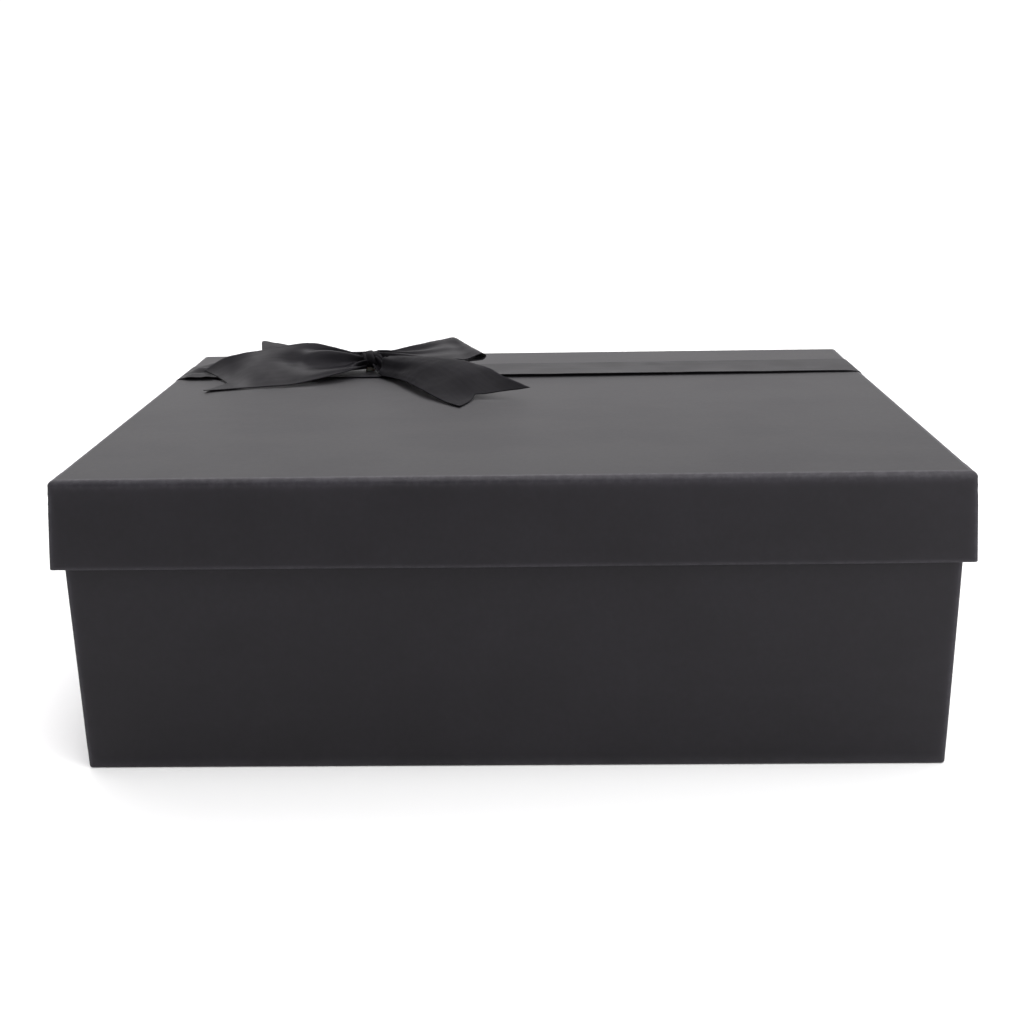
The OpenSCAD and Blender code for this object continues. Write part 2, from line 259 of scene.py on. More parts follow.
def satin(name, dark, light, rough, specular, sheen):
    """Woven satin ribbon. The UV map holds metres along and across the ribbon."""
    material, tree, shader = new_material(name, Specular_IOR_Level=specular, Sheen_Weight=sheen,
                                          Sheen_Roughness=0.35, Specular_Tint=(0.97, 0.94, 1.0, 1),
                                          Anisotropic=0.75, Anisotropic_Rotation=0.0)
    place = add_node(tree, "UVMap", {"uv_map": "ribbon"}).outputs["UV"]
    across = add_node(tree, "SeparateXYZ", Vector=place).outputs["Y"]
    where = add_node(tree, "TexCoord").outputs["Object"]
    picks = add_node(tree, "TexWave", {"wave_type": "BANDS", "bands_direction": "X"}, Vector=place,
                     Scale=700.0, Distortion=0.6, Detail=2.0, Detail_Scale=1.5).outputs["Fac"]
    threads = noise_at(tree, place, 900, 3, 0.6, (0.09, 1.0, 1.0))
    slubs = noise_at(tree, place, 420, 3, 0.55, (0.04, 1.0, 1.0))
    crease = noise_at(tree, where, 40, 2, 0.5)
    tone = span(tree, maths(tree, "ADD", maths(tree, "MULTIPLY", crease, 0.55),
                            maths(tree, "MULTIPLY", slubs, 0.45)), 0.35, 0.68)
    colour = mix_colour(tree, tone, dark, light)
    colour = scaled(tree, colour, span(tree, threads, 0.3, 0.7, 0.90, 1.10))
    # the woven edge: a millimetre on each side, denser and a little paler
    inset = maths(tree, "MINIMUM", across, maths(tree, "SUBTRACT", RIBBON_W, across))
    selvedge = span(tree, inset, 0.0011, 0.0008)
    colour = mix_colour(tree, maths(tree, "MULTIPLY", selvedge, 0.4), colour, tuple(1.9 * c for c in light))
    tree.links.new(colour, shader.inputs["Base Color"])
    tree.links.new(maths(tree, "ADD", span(tree, tone, 0.0, 1.0, rough + 0.02, rough - 0.02),
                         maths(tree, "MULTIPLY", selvedge, 0.12)), shader.inputs["Roughness"])
    height = maths(tree, "ADD", maths(tree, "MULTIPLY", picks, 0.45),
                   maths(tree, "ADD", maths(tree, "MULTIPLY", threads, 0.6),
                         maths(tree, "MULTIPLY", selvedge, 0.8)))
    bump = add_node(tree, "Bump", Strength=0.5, Distance=0.00005, Height=height)
    tree.links.new(bump.outputs["Normal"], shader.inputs["Normal"])
    tangent = add_node(tree, "Tangent", {"direction_type": "UV_MAP", "uv_map": "ribbon"})
    tree.links.new(tangent.outputs["Tangent"], shader.inputs["Tangent"])
    return material


def board(name, dark, light, flecks, scale):
    """Raw board or gummed paper: a mottled pulp with darker and paler fibres in it."""
    material, tree, shader = new_material(name, Specular_IOR_Level=0.25)
    where = add_node(tree, "TexCoord").outputs["Object"]
    pulp = noise_at(tree, where, scale, 5, 0.65)
    fibres = noise_at(tree, where, scale * 9, 3, 0.6, (0.3, 1.0, 1.0))
    colour = mix_colour(tree, span(tree, pulp, 0.3, 0.7), dark, light)
    colour = mix_colour(tree, span(tree, fibres, 0.60, 0.68, 0.0, 0.6), colour, flecks)
    tree.links.new(colour, shader.inputs["Base Color"])
    tree.links.new(span(tree, pulp, 0.2, 0.8, 0.78, 0.92), shader.inputs["Roughness"])
    bump = add_node(tree, "Bump", Strength=0.6, Distance=0.00008,
                    Height=maths(tree, "ADD", pulp, maths(tree, "MULTIPLY", fibres, 0.6)))
    tree.links.new(bump.outputs["Normal"], shader.inputs["Normal"])
    return material


def woven_tape(name, dark, light):
    """Plain woven cloth tape."""
    material, tree, shader = new_material(name, Specular_IOR_Level=0.3)
    where = add_node(tree, "TexCoord").outputs["Object"]
    warp = add_node(tree, "TexWave", {"bands_direction": "Y"}, Vector=where, Scale=260.0, Distortion=0.8)
    weft = add_node(tree, "TexWave", {"bands_direction": "Z"}, Vector=where, Scale=260.0, Distortion=0.8)
    cloth = maths(tree, "MULTIPLY", warp.outputs["Fac"], weft.outputs["Fac"])
    tree.links.new(mix_colour(tree, cloth, dark, light), shader.inputs["Base Color"])
    tree.links.new(span(tree, cloth, 0.0, 1.0, 0.75, 0.6), shader.inputs["Roughness"])
    bump = add_node(tree, "Bump", Strength=0.7, Distance=0.0001, Height=cloth)
    tree.links.new(bump.outputs["Normal"], shader.inputs["Normal"])
    return material


def hot_glue(name):
    """Cloudy hot-melt glue."""
    material, tree, shader = new_material(name, IOR=1.5, Subsurface_Weight=0.3, Subsurface_Scale=0.002)
    where = add_node(tree, "TexCoord").outputs["Object"]
    cloudy = noise_at(tree, where, 600, 3)
    tree.links.new(mix_colour(tree, cloudy, (0.17, 0.155, 0.12), (0.28, 0.26, 0.21)),
                   shader.inputs["Base Color"])
    tree.links.new(span(tree, cloudy, 0.3, 0.7, 0.22, 0.4), shader.inputs["Roughness"])
    return material


RIBBON_W = 0.032
COVER = soft_touch_paper("matte_black_wrap_paper", (0.0056, 0.0050, 0.0066), (0.0086, 0.0078, 0.0100),
                         (0.055, 0.052, 0.060), 0.47, 0.245, 0.02)
LINING = soft_touch_paper("black_lining_paper", (0.0120, 0.0120, 0.0125), (0.0170, 0.0168, 0.0175),
                          (0.040, 0.040, 0.042), 0.80, 0.18, 0.0)
SATIN_DARK, SATIN_LIGHT = (0.0056, 0.0052, 0.0064), (0.0100, 0.0094, 0.0114)
# a less glossy copy of the satin that makes the right tail darker, as painted shade
LESS_GLOSSY_SATIN = satin("black_satin_darkened_copy", SATIN_DARK, SATIN_LIGHT, 0.62, 0.085, 0.02)
SATIN = satin("black_satin_ribbon", SATIN_DARK, SATIN_LIGHT, 0.58, 0.155, 0.02)
BOARD = board("greyboard", (0.24, 0.225, 0.195), (0.36, 0.34, 0.30), (0.12, 0.11, 0.10), 140.0)
KRAFT = board("gummed_kraft_tape", (0.30, 0.19, 0.10), (0.42, 0.28, 0.155), (0.20, 0.12, 0.06), 90.0)
TAPE = woven_tape("black_cloth_tape", (0.010, 0.010, 0.010), (0.035, 0.035, 0.036))
GLUE = hot_glue("hot_melt_glue")

# ------------------------------------------------------------------ mesh helpers


def new_piece(name, points, faces, material):
    """A smooth-shaded mesh object in the scene."""
    mesh = bpy.data.meshes.new(name)
    mesh.from_pydata([tuple(p) for p in points], [], faces)
    mesh.validate()
    mesh.materials.append(material)
    mesh.shade_smooth()
    piece = bpy.data.objects.new(name, mesh)
    bpy.context.scene.collection.objects.link(piece)
    return piece


def thicken(piece, thickness, offset):
    """Gives a sheet its thickness: offset -1 puts it all behind the surface, 0 half on each side."""
    solid = piece.modifiers.new("thickness", "SOLIDIFY")
    solid.thickness = thickness
    solid.offset = offset
    solid.use_rim = True


def set_wear_and_highlight(piece, values):
    """Stores how much paler the paper is painted at each point, 0 to 1, for its material: partly scuffing,
    partly painted highlight along its edges.
    """
    layer = piece.data.attributes.new("wear_and_highlight", "FLOAT", "POINT")
    layer.data.foreach_set("value", np.asarray(values, np.float32))


def smooth_step(value, low, high):
    """0 up to low, 1 from high, smooth between them."""
    t = np.clip((value - low) / (high - low), 0.0, 1.0)
    return t * t * (3 - 2 * t)


def ripple(point, size, seed):
    """Smooth noise from -1 to 1, with features of about that size in metres."""
    return noise.noise(Vector(point) / size + Vector((seed, 2.7 * seed, -1.3 * seed)))


# ------------------------------------------------------------------ paper wraps

WRAP_T = 0.00012
SEAM_STOPS = (0.0, 0.0004, 0.0008, 0.0012, 0.002, 0.0035, 0.006, 0.009, 0.0114, 0.0120, 0.0126, 0.015)
CORNER_STEPS = 6
# paper paler toward the vertical corners: partly scuffing, partly painted highlight on the rounded corner
CORNER_WEAR_AND_HIGHLIGHT, CORNER_WEAR_AND_HIGHLIGHT_REACH = 0.75, 0.0012


def side_stops(half):
    """Places along a side, from -half to half: close together near the corners, then evenly spaced."""
    spacing = 0.004
    near = [half - s for s in SEAM_STOPS]
    inner = near[-1]
    count = max(2, round(2 * inner / spacing))
    middle = [-inner + 2 * inner * i / count for i in range(1, count)]
    return [-x for x in near] + middle + near[::-1]


def ring_points(half, inset, radius, stops):
    """Points round a rounded rectangle, as (x, y, nx, ny, distance to the nearest corner)."""
    hx, hy = half[0] - inset, half[1] - inset
    sx, sy = hx - radius, hy - radius
    out = []
    sides = ((0, -1, 0), (1, 0, 1), (0, 1, 0), (-1, 0, 1))
    for number, (nx, ny, axis) in enumerate(sides):
        places = stops[axis]
        reach = places[-1]
        forward = 1 if number < 2 else -1
        straight = sx if axis == 0 else sy
        for place in places:
            s = forward * place / reach * straight
            x, y = (s, ny * hy) if axis == 0 else (nx * hx, s)
            out.append((x, y, nx, ny, straight - abs(s)))
        start = math.atan2(ny, nx)
        centre_x = (1 if number in (0, 1) else -1) * sx
        centre_y = (-1 if number in (0, 3) else 1) * sy
        for step in range(1, CORNER_STEPS):
            angle = start + math.pi / 2 * step / CORNER_STEPS
            c, s = math.cos(angle), math.sin(angle)
            out.append((centre_x + radius * c, centre_y + radius * s, c, s, 0.0))
    return out


def close_ring(ring, stops, points, wear_and_highlights, z):
    """Makes each corner of a ring without corner radius one single point, fills the ring with a flat grid
    and returns its faces. Adds the grid's points to points, each with 0 in wear_and_highlights."""
    nx_count, ny_count = len(stops[0]), len(stops[1])
    counts = (nx_count, ny_count, nx_count, ny_count)
    starts = [sum(counts[:k]) + k * (CORNER_STEPS - 1) for k in range(4)]
    for start, count, following in zip(starts, counts, starts[1:]):
        ring[start + count:following + 1] = [ring[start + count - 1]] * CORNER_STEPS
    ring[starts[3] + ny_count - 1:] = [ring[0]] * CORNER_STEPS
    grid = {}
    for i in range(nx_count):
        grid[i, 0] = ring[starts[0] + i]
        grid[i, ny_count - 1] = ring[starts[2] + nx_count - 1 - i]
    for j in range(ny_count):
        grid[nx_count - 1, j] = ring[starts[1] + j]
        grid[0, j] = ring[starts[3] + ny_count - 1 - j]
    for i in range(1, nx_count - 1):
        for j in range(1, ny_count - 1):
            grid[i, j] = len(points)
            points.append([points[grid[i, 0]][0], points[grid[0, j]][1], z])
            wear_and_highlights.append(0.0)
    return [(grid[i, j], grid[i + 1, j], grid[i + 1, j + 1], grid[i, j + 1])
            for i in range(nx_count - 1) for j in range(ny_count - 1)]


def wrap_paper(half, profile, stops, closed_z=None):
    """One sheet of paper wrapped round a box, as points, faces, and scuffing with painted edge highlight.
    profile holds (inset, z, corner radius, scuffing and painted highlight) rings from the closed face's edge
    to the end of the turned flap. closed_z closes the first ring with a flat face."""
    points, wear_and_highlights, rings = [], [], []
    for number, (inset, z, radius, wear_and_highlight) in enumerate(profile):
        ring = []
        collapsed = closed_z is not None and number == 0
        for x, y, nx, ny, away in ring_points(half, inset, radius, stops):
            on_arc = abs(nx) + abs(ny) > 1.0001  # on the straight sides it's 1
            if collapsed and on_arc:
                ring.append(ring[-1])
                continue
            ring.append(len(points))
            points.append([x, y, z])
            # paler near the vertical corners: partly scuffing, partly painted highlight
            wear_and_highlights.append(max(wear_and_highlight, CORNER_WEAR_AND_HIGHLIGHT * math.exp(-away / CORNER_WEAR_AND_HIGHLIGHT_REACH)))
        rings.append(ring)
    faces = []
    if closed_z is not None:
        faces += close_ring(rings[0], stops, points, wear_and_highlights, closed_z)
    for upper, lower in zip(rings, rings[1:]):
        for k in range(len(upper)):
            following = (k + 1) % len(upper)
            corners = (upper[k], lower[k], lower[following], upper[following])
            face = tuple(dict.fromkeys(corners))
            if len(face) > 2:
                faces.append(face)
    return points, faces, wear_and_highlights


def arc(centre_inset, centre_z, radius, start, end, steps):
    """(inset, z) points along an arc. Angle 0 points outward and 90 points up."""
    out = []
    for step in range(steps + 1):
        angle = math.radians(start + (end - start) * step / steps)
        out.append((centre_inset - radius * math.cos(angle), centre_z + radius * math.sin(angle)))
    return out


LID_LOW, LID_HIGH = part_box("lid_cover_paper")
TRAY_LOW, TRAY_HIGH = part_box("tray_cover_paper")
FLARE = 0.0023  # the skirt's lower edge stands this far outside the lid's top
LID_TOP, SKIRT_LOW = LID_HIGH.z, LID_LOW.z
LID_HALF = (LID_HIGH.x - FLARE, LID_HIGH.y - FLARE)
TRAY_HALF = (TRAY_HIGH.x, TRAY_HIGH.y)
TRAY_TOP, TRAY_FOOT = TRAY_HIGH.z, TRAY_LOW.z
WALL_T = 0.0016  # board and paper
FLAP = 0.016  # width of the turned-in paper
FOLD_R = 0.00035
CORNER_R = 0.0013
INNER_R = 0.0003
NEAR_WALL = 0.0012  # points closer than this to a wall belong to it
TAB_T = 0.00016  # how far a tab under the paper lifts it


def lean_at(z):
    """How far the lid's skirt stands outside the lid's top at height z."""
    return FLARE * (LID_TOP - z) / (LID_TOP - SKIRT_LOW)


def lid_profile():
    """The lid's cover paper in section: top edge, skirt, lower fold and the flap turned up inside."""
    edge_r = 0.0025
    rows = []
    for inset, z in arc(edge_r, LID_TOP - edge_r, edge_r, 90, 0, 8):
        outward = 1 - inset / edge_r
        # on the rounded top edge this paleness is mostly painted highlight, brightest at the crest and
        # fading down the curve, with some scuffing
        wear_and_highlight = 1.0 - 0.35 * (LID_TOP - z) / edge_r
        rows.append((inset - lean_at(z) * outward, z, CORNER_R * outward, wear_and_highlight))
    count = 24
    top, low = rows[-1][1], SKIRT_LOW + FOLD_R
    for step in range(1, count):
        z = top + (low - top) * step / count
        # paler near the lower fold and just below the rounded top edge: partly scuffing, partly painted
        # highlight fading away from each edge
        edge = 0.6 * math.exp(-(z - SKIRT_LOW) / 0.0012) + 0.65 * math.exp(-(LID_TOP - edge_r - z) / 0.0018)
        rows.append((-lean_at(z), z, CORNER_R, edge))
    # the lower fold's paleness: partly scuffing, partly painted highlight where the fold catches light
    for inset, z in arc(FOLD_R - lean_at(low), low, FOLD_R, 0, -90, 3):
        rows.append((inset, z, CORNER_R, 0.7))
    for inset, z in arc(WALL_T - FOLD_R - lean_at(low), low, FOLD_R, -90, -180, 3):
        rows.append((inset, z, INNER_R, 0.6))
    for step in range(1, 6):
        z = low + (FLAP - FOLD_R) * step / 5
        rows.append((WALL_T - lean_at(z), z, INNER_R, 0.1 + 0.5 * (step == 5)))
    return rows


def tray_profile():
    """The tray's cover paper in section: flap under the base, foot, wall, rim and the flap turned in."""
    edge_r = 0.001
    rows = [(FLAP * (1 - step / 4), TRAY_FOOT, INNER_R, 0.2) for step in range(4)]
    for inset, z in arc(edge_r, TRAY_FOOT + edge_r, edge_r, -90, 0, 5):
        outward = 1 - inset / edge_r
        rows.append((inset, z, max(INNER_R, CORNER_R * outward), 0.55))
    low, top, count = rows[-1][1], TRAY_TOP - FOLD_R, 30
    for step in range(1, count):
        z = low + (top - low) * step / count
        rows.append((0.0, z, CORNER_R, 0.6 * math.exp(-(z - TRAY_FOOT) / 0.0015)))
    for inset, z in arc(FOLD_R, top, FOLD_R, 0, 90, 3):
        rows.append((inset, z, CORNER_R, 0.6))
    for inset, z in arc(WALL_T - FOLD_R, top, FOLD_R, 90, 180, 3):
        rows.append((inset, z, INNER_R, 0.6))
    for step in range(1, 6):
        rows.append((WALL_T, top - (FLAP - FOLD_R) * step / 5, INNER_R, 0.1 + 0.5 * (step == 5)))
    return rows


def wall_bow(x, y, half, amount):
    """Outward bow of a wall, most at its middle and nothing at its corners, as (dx, dy)."""
    across_x, across_y = min(1.0, abs(x) / half[0]), min(1.0, abs(y) / half[1])
    dx = amount * math.cos(math.pi / 2 * across_y) * smooth_step(across_x, 0.97, 0.995) * math.copysign(1, x)
    dy = amount * math.cos(math.pi / 2 * across_x) * smooth_step(across_y, 0.96, 0.99) * math.copysign(1, y)
    return dx, dy


def seam_lift(x, y, half):
    """The flap over each vertical corner: the short walls' paper lies over a tab from the long walls."""
    if abs(x) <= half[0] - 0.004:
        return 0.0
    away = half[1] - abs(y)
    tab = 1 - smooth_step(away, 0.0126, 0.0148)
    edge = smooth_step(away, 0.0010, 0.0022)
    return TAB_T * float(tab * edge)


def outward_sides(x, y, half):
    """For a point on a wall, the wall's outward direction as (-1, 0 or 1, -1, 0 or 1); elsewhere zeros."""
    return (math.copysign(1, x) if abs(x) > half[0] - NEAR_WALL else 0,
            math.copysign(1, y) if abs(y) > half[1] - NEAR_WALL else 0)


def shape_lid(points):
    """Makes the lid's paper uneven: bowed skirt, lapped corners, bunched top corners and a faint swell."""
    bow, wave_high, ridge_high, edge_wander = 0.0006, 0.00012, 0.00022, 0.00015
    swell_high, pimple_high = 0.00012, 0.00002
    for p in points:
        x, y, z = p
        nx, ny = outward_sides(x, y, LID_HALF)
        drop = (LID_TOP - z) / (LID_TOP - SKIRT_LOW)
        if nx or ny:
            dx, dy = wall_bow(x, y, LID_HALF, bow * drop)
            lift = seam_lift(x, y, LID_HALF)
            wave = wave_high * (1 + ripple((x, y, z), 0.035, 3)) * float(smooth_step(drop, 0.1, 0.4))
            # paper bunched where it folds round the corner under the lid's top
            corner = math.hypot(max(0.0, LID_HALF[0] - abs(x)), max(0.0, LID_HALF[1] - abs(y)))
            bunch = math.exp(-corner / 0.003) * math.exp(-(LID_TOP - z) / 0.005)
            ridge = ridge_high * bunch * (1 + math.sin(1500 * (z + 0.4 * (abs(x) - abs(y)))))
            p[0] += dx + nx * (lift + wave + ridge)
            p[1] += dy + ny * (wave + ridge)
            # the skirt's lower edge isn't quite straight
            if drop > 0.5:
                p[2] += edge_wander * ripple((x, y, 0), 0.06, 11) * float(smooth_step(drop, 0.5, 1.0))
        else:
            inner = min(LID_HALF[0] - abs(x), LID_HALF[1] - abs(y))
            swell = float(smooth_step(inner, 0.002, 0.03))
            p[2] += (swell_high * swell * (1 + ripple((x, y, 0), 0.09, 5))
                     + pimple_high * swell * ripple((x, y, 0), 0.02, 9))


def shape_tray(points):
    """Makes the tray's paper uneven below the lid: bowed walls and lapped corners."""
    bow, wave_high, seam_limit = 0.0005, 0.00008, 0.00012
    height = TRAY_TOP - TRAY_FOOT
    for p in points:
        x, y, z = p
        nx, ny = outward_sides(x, y, TRAY_HALF)
        if nx or ny:
            up = (z - TRAY_FOOT) / height
            free = float(smooth_step(up, 0.0, 0.12) * (1 - smooth_step(up, 0.62, 0.85)))
            dx, dy = wall_bow(x, y, TRAY_HALF, bow * free)
            lift = seam_lift(x, y, TRAY_HALF) * float(smooth_step(up, 0.0, 0.03))
            wave = wave_high * (1 + ripple((x, y, z), 0.05, 21)) * free
            p[0] += dx + nx * (wave + min(lift, seam_limit))
            p[1] += dy + ny * wave


def make_wrap(name, half, profile, closed_z, shape, body, node):
    """Builds one cover paper. Below the edge of a closed face, its front and back walls are painted paler
    toward that edge.
    """
    corner = max(row[2] for row in profile)
    stops = (side_stops(half[0] - corner), side_stops(half[1] - corner))
    points, faces, wear_and_highlights = wrap_paper(half, profile, stops, closed_z)
    shape(points)

    def paler_near_edge(x, y, z):
        """How much paler a point on those walls is painted, most at the edge and toward the corners."""
        if closed_z is None or abs(y) <= half[1] - 0.002:
            return 0.0
        toward_corner = 0.4 + 0.6 * math.exp(-(half[0] - abs(x)) / 0.05)
        return 0.45 * math.exp(-(closed_z - z) / 0.007) * toward_corner

    piece = new_piece(name, points, faces, COVER)
    set_wear_and_highlight(piece, np.maximum(wear_and_highlights, [paler_near_edge(*p) for p in points]))
    thicken(piece, WRAP_T, -1)
    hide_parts(node)
    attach(piece, body)


make_wrap("lid_wrap_paper", LID_HALF, lid_profile(), LID_TOP, shape_lid, "lid", "lid_cover_paper")
make_wrap("tray_wrap_paper", TRAY_HALF, tray_profile(), None, shape_tray, "tray", "tray_cover_paper")

# ------------------------------------------------------------------ ribbon

RIBBON_T = 0.0003
# heights in mm above the lid's top at which a loose ribbon rests: on the lid, and more over the band,
# which lies between these two pairs of y in mm
REST_HIGH, BAND_HIGH, BAND_FRONT, BAND_BACK = 0.45, 1.3, (58.5, 62), (94, 97)
SOFT_REST = 0.3  # a larger one bends the ribbon more softly where it meets that height


def interpolate(rows, knots, at):
    """Smooth curve through rows, a value per knot, evaluated at the numbers at."""
    rows = np.array(rows, float)
    slopes = np.zeros_like(rows)
    gaps = np.diff(knots)
    chords = np.diff(rows, axis=0) / gaps[:, None]
    slopes[0], slopes[-1] = chords[0], chords[-1]
    before, after = gaps[:-1, None], gaps[1:, None]
    slopes[1:-1] = (chords[:-1] * after + chords[1:] * before) / (before + after)
    index = np.clip(np.searchsorted(knots, at, side="right") - 1, 0, len(knots) - 2)
    width = gaps[index]
    t = ((at - knots[index]) / width)[:, None]
    h = width[:, None]
    return ((2 * t**3 - 3 * t**2 + 1) * rows[index] + (t**3 - 2 * t**2 + t) * h * slopes[index]
            + (3 * t**2 - 2 * t**3) * rows[index + 1] + (t**3 - t**2) * h * slopes[index + 1])


def strip_faces(rows, columns):
    """Quads of a sheet of points, row by row, with that many quads across each row."""
    n = columns + 1
    return [(i * n + j, i * n + j + 1, (i + 1) * n + j + 1, (i + 1) * n + j)
            for i in range(rows - 1) for j in range(columns)]


def strip(back, front, offset, side, notch=0.0, notch_at=0.5):
    """A ribbon between two edge curves in millimetres above the lid's top. offset gives how far the
    surface stands off the flat strip, from distance along, share across (0 back, 1 front), length and
    the width between the edges there; side is 1 or -1, whichever makes that upward. notch is the depth
    of the end's swallow-tail cut and notch_at its place across. Returns points in metres, faces, and
    the ribbon coordinates of each point."""
    spacing, columns, look = 0.8, 52, 1.5
    back, front = np.array(back, float), np.array(front, float)
    middle = (back + front) / 2
    knots = np.concatenate([[0.0], np.cumsum(np.linalg.norm(np.diff(middle, axis=0), axis=1))])
    length = knots[-1]
    rows = max(8, int(length / spacing)) + 1
    v = np.linspace(0, 1, columns + 1)
    end = 1 - notch / length * np.minimum(v / notch_at, (1 - v) / (1 - notch_at))
    grid = np.zeros((rows, columns + 1, 3))
    coords = np.zeros((rows, columns + 1, 2))
    for j, share in enumerate(v):
        at = np.linspace(0, length * end[j], rows)
        b, f = interpolate(back, knots, at), interpolate(front, knots, at)
        line = (1 - share) * b + share * f
        ahead, behind = np.minimum(at + look, length), np.maximum(at - look, 0)
        along = ((1 - share) * (interpolate(back, knots, ahead) - interpolate(back, knots, behind))
                 + share * (interpolate(front, knots, ahead) - interpolate(front, knots, behind)))
        normal = side * np.cross(along, b - f)
        normal /= np.linalg.norm(normal, axis=1)[:, None] + 1e-12
        widths = np.linalg.norm(b - f, axis=1)
        lift = np.array([offset(d, share, length, w) for d, w in zip(at, widths)])
        grid[:, j] = line + normal * lift[:, None]
        # the ribbon rests on the lid, or on the band where it crosses it
        y = grid[:, j, 1]
        over_band = smooth_step(y, *BAND_FRONT) * (1 - smooth_step(y, *BAND_BACK))
        ground = REST_HIGH + BAND_HIGH * over_band
        above = grid[:, j, 2] - ground
        grid[:, j, 2] = ground + (above + np.sqrt(above**2 + SOFT_REST)) / 2
        coords[:, j, 0], coords[:, j, 1] = at, share * RIBBON_W / MM
    points = grid.reshape(-1, 3) * MM + np.array([0, 0, LID_TOP])
    return points, strip_faces(rows, columns), coords.reshape(-1, 2) * MM


def ribbon_piece(name, made, node, flip=False, cloth=SATIN):
    """Makes a ribbon's mesh from points, faces and ribbon coordinates, gives it its thickness and puts it on
    the lid in place of the CAD node.
    """
    points, faces, coords = made
    if flip:
        faces = [face[::-1] for face in faces]
    piece = new_piece(name, points, faces, cloth)
    layer = piece.data.uv_layers.new(name="ribbon")
    for loop in piece.data.loops:
        layer.data[loop.index].uv = coords[loop.vertex_index]
    thicken(piece, RIBBON_T, 0)
    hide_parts(node)
    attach(piece, "lid")


def gathers(s, share, width, count, phase, fade):
    """Folds that take up the ribbon's full width where its edges are drawn together at the knot."""
    spare = math.sqrt(max(0.0, (RIBBON_W / MM) ** 2 - width * width))
    swing = math.sin(2 * math.pi * (count * share + phase + 0.12 * math.sin(s / 7.0)))
    return 0.225 / count * spare * math.exp(-s / fade) * swing * math.sin(math.pi * share) ** 0.5


def bump_at(s, share, at_s, at_share, size_s, size_share):
    """A smooth hump of height 1 at one place on a ribbon."""
    return math.exp(-((s - at_s) / size_s) ** 2 - ((share - at_share) / size_share) ** 2)


def wrinkle(s, share, seed):
    """Irregular small creases, broad ones plus fine ones."""
    broad = noise.noise(Vector((s / 9, share * 3, seed)))
    return broad + 0.4 * noise.noise(Vector((s / 3.5, share * 8, seed)))


def dish(share):
    """1 halfway across the ribbon and 0 at its edges."""
    return 4 * share * (1 - share)


# The three offset functions below are called by strip, with the same four values. All are in mm.


def left_tail_offset(s, share, length, width):
    """Ridges that fan out from the knot, then a hollow, then the end lying down on the band and the lid."""
    lift = gathers(s, share, width, 2.5, 0.62, 9)
    away = float(smooth_step(s, 3, 12))
    lift -= 3.4 * away * bump_at(s, share, 20, 0.13, 13, 0.07)
    lift += 2.2 * away * bump_at(s, share, 20, 0.30, 17, 0.10)
    lift -= 2.8 * away * bump_at(s, share, 19, 0.58, 17, 0.14)
    lift += 0.9 * away * bump_at(s, share, 16, 0.86, 14, 0.08)
    lift -= 3.4 * bump_at(s, share, 41, 0.34, 6.5, 0.14) + 1.6 * bump_at(s, share, 32, 0.47, 8, 0.12)
    lift += 0.8 * dish(share) * math.exp(-((s - 60) / 22) ** 2)
    lift -= 4.8 * dish(share) * float(smooth_step(s, 59, 76))
    return lift + 0.22 * wrinkle(s, share, 1.7)


def right_tail_offset(s, share, length, width):
    """One broad fold along the back, whose steep near side is what shows from the front."""
    lift = gathers(s, share, width, 2.0, 0.15, 8)
    away = float(smooth_step(s, 2, 12))
    lift += 5.0 * math.sin(math.pi * share**0.63) * away * float(1 - smooth_step(s, 48, 84))
    lift -= 1.0 * bump_at(s, share, 30, 0.68, 14, 0.14)
    # the fold beside the knot
    beside = float(smooth_step(share, 0.15, 0.4))
    lift += beside * (2.6 * math.exp(-((s - 3.4) / 2.2) ** 2) - 1.6 * math.exp(-((s - 8.2) / 1.8) ** 2))
    lift -= 3.4 * dish(share) * float(smooth_step(s, 70, 92))
    return lift + 0.25 * wrinkle(s, share, 6.1)


def loop_offset(s, share, length, width):
    """Gathers at both ends of the loop, a valley in its upper half, and a soft crease beside the far fold,
    which itself stays smooth."""
    near = min(s, length - s)
    fold = abs(s - length / 2)
    upper = 1 if s < length / 2 else -1
    lift = gathers(near, share, width, 2.5, 0.3, 25) * (0.15 + 0.85 * float(smooth_step(fold, 3, 16)))
    lift -= upper * 1.6 * float(smooth_step(near, 3, 10)) * bump_at(near, share, 18, 0.30, 12, 0.12)
    lift -= upper * 1.0 * math.exp(-((fold - 9) / 4.5) ** 2) * float(smooth_step(share, 0.1, 0.4))
    return lift + 0.18 * wrinkle(s, share, 9.4) * float(smooth_step(fold, 2, 14))


# edges of the tails and loops, in mm from the middle of the lid's top, from the knot outward
LEFT_TAIL_BACK = [(-79, 78, 7.4), (-87.3, 75, 11.3), (-98.2, 77, 14), (-109.9, 77.1, 15.6),
                  (-121.4, 73.3, 15), (-133, 69.2, 13.5), (-144.4, 70, 11.6), (-153.5, 72, 9),
                  (-159.4, 71.5, 6.0), (-164.4, 69.5, 3.0)]
LEFT_TAIL_FRONT = [(-79, 73.5, 4), (-85.8, 59.4, 4), (-94.7, 49.7, 3.5), (-108.9, 41.5, 1.6),
                   (-118, 38.5, 1.0), (-128.3, 36.8, 0.7), (-138, 34.6, 0.7), (-146, 32.3, 0.8),
                   (-150.5, 30.5, 0.9), (-154.5, 28.6, 1.3)]
RIGHT_TAIL_BACK = [(-72, 80, 6.5), (-64.5, 74, 6.4), (-53, 62, 8.4), (-41.4, 54, 9.4), (-31, 45, 10.8),
                   (-21, 37, 11.4), (-13, 28, 10.9), (-4, 17, 8.4), (7.4, 8.4, 5.2)]
RIGHT_TAIL_FRONT = [(-74.5, 74, 2.6), (-71, 61, 1.8), (-61.4, 46.8, 2.4), (-56, 36.6, 3.4),
                    (-51.7, 29, 3.2), (-45.8, 17.5, 3.0), (-38.7, 6.4, 2.0), (-32, -3.0, 1.1),
                    (-25.5, -10.5, 0.8)]
